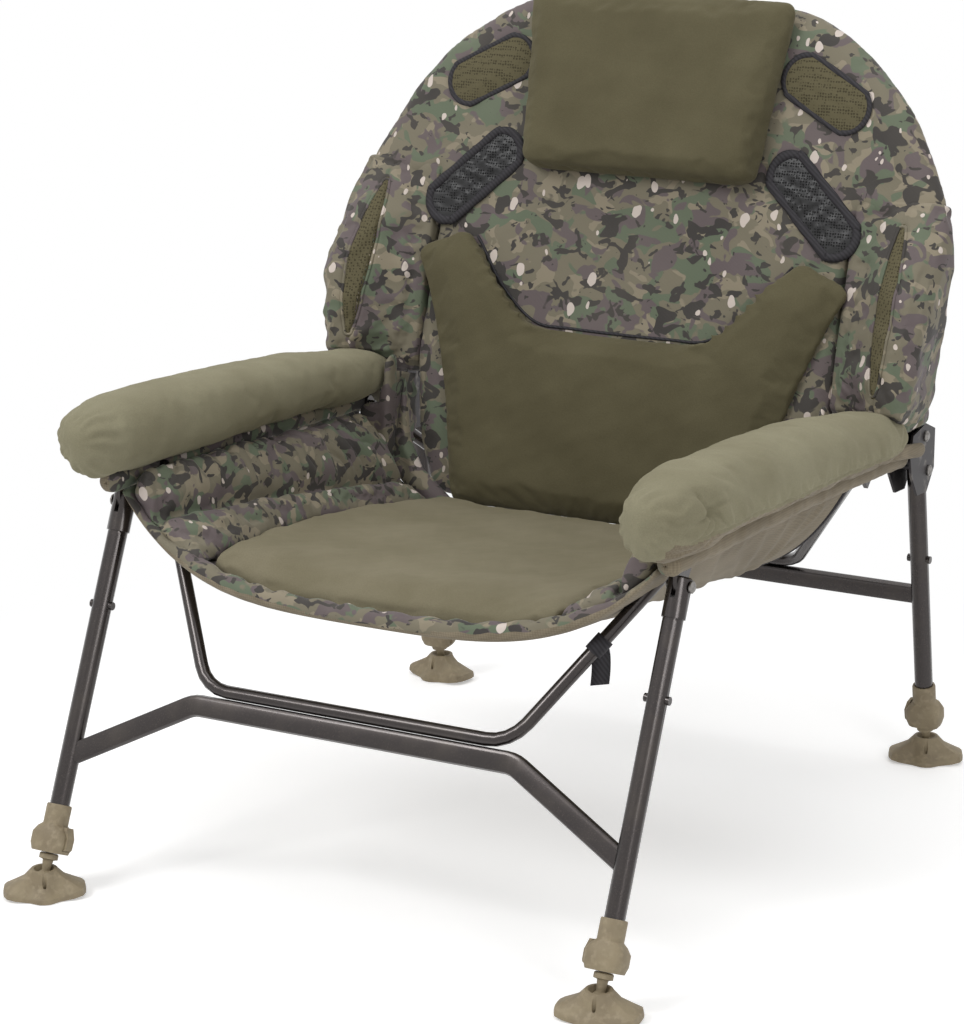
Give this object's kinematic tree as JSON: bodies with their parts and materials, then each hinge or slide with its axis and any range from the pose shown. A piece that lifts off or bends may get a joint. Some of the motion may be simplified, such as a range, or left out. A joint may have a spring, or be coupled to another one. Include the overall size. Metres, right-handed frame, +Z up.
{
  "type": "folding bankside lounge chair",
  "caption": "Folding lounge chair with telescopic legs, swivelling mud feet, hammock seat, padded arms and an oval reclined back with lumbar and head cushions.",
  "frame": {"origin": "on the ground under the middle of the overall box", "axes": "+Z up, -Y towards the front of the chair, +X to the right as seen from the front"},
  "size_m": [0.792, 0.9468, 0.9188],
  "materials": {
    "gunmetal": "satin gunmetal",
    "dark_steel": "satin black pressed steel",
    "zinc": "zinc plated",
    "tan_plastic": "matt tan",
    "olive_fleece": "brushed fleece",
    "camo_cloth": null,
    "khaki_cloth": "plain weave",
    "black_mesh": "open mesh",
    "olive_mesh": "coarse spacer mesh",
    "webbing": "woven webbing"
  },
  "bodies": {
    "chair_frame": {"arm_rail_left": "gunmetal", "rail_cover_left": "khaki_cloth", "rear_bracket_left": "dark_steel", "front_hinge_bolt_left": "zinc", "rear_hinge_bolt_left": "zinc", "back_hinge_bolt_left": "zinc", "side_bolster_left": "camo_cloth", "arm_pad_left": "olive_fleece", "arm_rail_right": "gunmetal", "rail_cover_right": "khaki_cloth", "rear_bracket_right": "dark_steel", "front_hinge_bolt_right": "zinc", "rear_hinge_bolt_right": "zinc", "back_hinge_bolt_right": "zinc", "side_bolster_right": "camo_cloth", "arm_pad_right": "olive_fleece", "front_brace": "gunmetal", "rear_brace": "gunmetal", "brace_strap": "webbing", "seat_sling": "khaki_cloth", "seat_pad": "olive_fleece"},
    "front_leg_frame": {"front_crossbar": "gunmetal", "leg_front_left": "gunmetal", "collar_front_left": "tan_plastic", "leg_front_right": "gunmetal", "collar_front_right": "tan_plastic"},
    "rear_leg_frame": {"rear_crossbar": "gunmetal", "leg_rear_left": "gunmetal", "collar_rear_left": "tan_plastic", "leg_rear_right": "gunmetal", "collar_rear_right": "tan_plastic"},
    "backrest": {"back_hoop": "gunmetal", "back_shell": "camo_cloth", "lumbar_pad": "olive_fleece", "headrest_pillow": "olive_fleece", "back_wing_left": "camo_cloth", "mesh_window_left": "black_mesh", "mesh_panel_left": "olive_mesh", "back_wing_right": "camo_cloth", "mesh_window_right": "black_mesh", "mesh_panel_right": "olive_mesh"},
    "inner_leg_front_left_body": {"inner_leg_front_left": "gunmetal"},
    "ankle_front_left_body": {"ankle_front_left": "tan_plastic"},
    "foot_front_left_body": {"foot_front_left": "tan_plastic"},
    "lever_front_left_body": {"lever_front_left": "tan_plastic"},
    "inner_leg_front_right_body": {"inner_leg_front_right": "gunmetal"},
    "ankle_front_right_body": {"ankle_front_right": "tan_plastic"},
    "foot_front_right_body": {"foot_front_right": "tan_plastic"},
    "lever_front_right_body": {"lever_front_right": "tan_plastic"},
    "inner_leg_rear_left_body": {"inner_leg_rear_left": "gunmetal"},
    "ankle_rear_left_body": {"ankle_rear_left": "tan_plastic"},
    "foot_rear_left_body": {"foot_rear_left": "tan_plastic"},
    "lever_rear_left_body": {"lever_rear_left": "tan_plastic"},
    "inner_leg_rear_right_body": {"inner_leg_rear_right": "gunmetal"},
    "ankle_rear_right_body": {"ankle_rear_right": "tan_plastic"},
    "foot_rear_right_body": {"foot_rear_right": "tan_plastic"},
    "lever_rear_right_body": {"lever_rear_right": "tan_plastic"}
  },
  "joints": [
    {"name": "front_legs_fold", "type": "hinge", "parent": "chair_frame", "child": "front_leg_frame", "pos_m": [0, -0.26261, 0.405], "axis": [1, 0, 0], "range_deg": [0, 54]},
    {"name": "rear_legs_fold", "type": "hinge", "parent": "chair_frame", "child": "rear_leg_frame", "pos_m": [0, 0.37739, 0.381], "axis": [-1, 0, 0], "range_deg": [0, 41]},
    {"name": "back_fold", "type": "hinge", "parent": "chair_frame", "child": "backrest", "pos_m": [0, 0.36539, 0.425], "axis": [1, 0, 0], "range_deg": [0, 30], "deforming": ["back_wing_left", "back_wing_right"]},
    {"name": "leg_length_front_left", "type": "slide", "parent": "front_leg_frame", "child": "inner_leg_front_left_body", "axis": [0, -0.4079, -0.913], "range_m": [0, 0.12]},
    {"name": "foot_swivel_front_left", "type": "hinge", "parent": "inner_leg_front_left_body", "child": "ankle_front_left_body", "pos_m": [-0.34, -0.43461, 0.02], "axis": [0, -0.4079, -0.913], "continuous": true},
    {"name": "foot_tilt_front_left", "type": "hinge", "parent": "ankle_front_left_body", "child": "foot_front_left_body", "pos_m": [-0.34, -0.43461, 0.02], "axis": [1, 0, 0], "range_deg": [-45, 1]},
    {"name": "lever_flip_front_left", "type": "hinge", "parent": "front_leg_frame", "child": "lever_front_left_body", "pos_m": [-0.31975, -0.42011, 0.05246], "axis": [0, 0.913, -0.4079], "range_deg": [0, 60]},
    {"name": "leg_length_front_right", "type": "slide", "parent": "front_leg_frame", "child": "inner_leg_front_right_body", "axis": [0, -0.4079, -0.913], "range_m": [0, 0.12]},
    {"name": "foot_swivel_front_right", "type": "hinge", "parent": "inner_leg_front_right_body", "child": "ankle_front_right_body", "pos_m": [0.34, -0.43461, 0.02], "axis": [0, -0.4079, -0.913], "continuous": true},
    {"name": "foot_tilt_front_right", "type": "hinge", "parent": "ankle_front_right_body", "child": "foot_front_right_body", "pos_m": [0.34, -0.43461, 0.02], "axis": [1, 0, 0], "range_deg": [-45, 1]},
    {"name": "lever_flip_front_right", "type": "hinge", "parent": "front_leg_frame", "child": "lever_front_right_body", "pos_m": [0.31975, -0.42011, 0.05246], "axis": [0, -0.913, 0.4079], "range_deg": [0, 60]},
    {"name": "leg_length_rear_left", "type": "slide", "parent": "rear_leg_frame", "child": "inner_leg_rear_left_body", "axis": [0, 0.1746, -0.9846], "range_m": [0, 0.12]},
    {"name": "foot_swivel_rear_left", "type": "hinge", "parent": "inner_leg_rear_left_body", "child": "ankle_rear_left_body", "pos_m": [-0.34, 0.44139, 0.02], "axis": [0, 0.1746, -0.9846], "continuous": true},
    {"name": "foot_tilt_rear_left", "type": "hinge", "parent": "ankle_rear_left_body", "child": "foot_rear_left_body", "pos_m": [-0.34, 0.44139, 0.02], "axis": [1, 0, 0], "range_deg": [-15, 34]},
    {"name": "lever_flip_rear_left", "type": "hinge", "parent": "rear_leg_frame", "child": "lever_rear_left_body", "pos_m": [-0.31975, 0.43519, 0.055], "axis": [0, 0.9846, 0.1746], "range_deg": [0, 60]},
    {"name": "leg_length_rear_right", "type": "slide", "parent": "rear_leg_frame", "child": "inner_leg_rear_right_body", "axis": [0, 0.1746, -0.9846], "range_m": [0, 0.12]},
    {"name": "foot_swivel_rear_right", "type": "hinge", "parent": "inner_leg_rear_right_body", "child": "ankle_rear_right_body", "pos_m": [0.34, 0.44139, 0.02], "axis": [0, 0.1746, -0.9846], "continuous": true},
    {"name": "foot_tilt_rear_right", "type": "hinge", "parent": "ankle_rear_right_body", "child": "foot_rear_right_body", "pos_m": [0.34, 0.44139, 0.02], "axis": [1, 0, 0], "range_deg": [-15, 34]},
    {"name": "lever_flip_rear_right", "type": "hinge", "parent": "rear_leg_frame", "child": "lever_rear_right_body", "pos_m": [0.31975, 0.43519, 0.055], "axis": [0, -0.9846, -0.1746], "range_deg": [0, 60]}
  ]
}
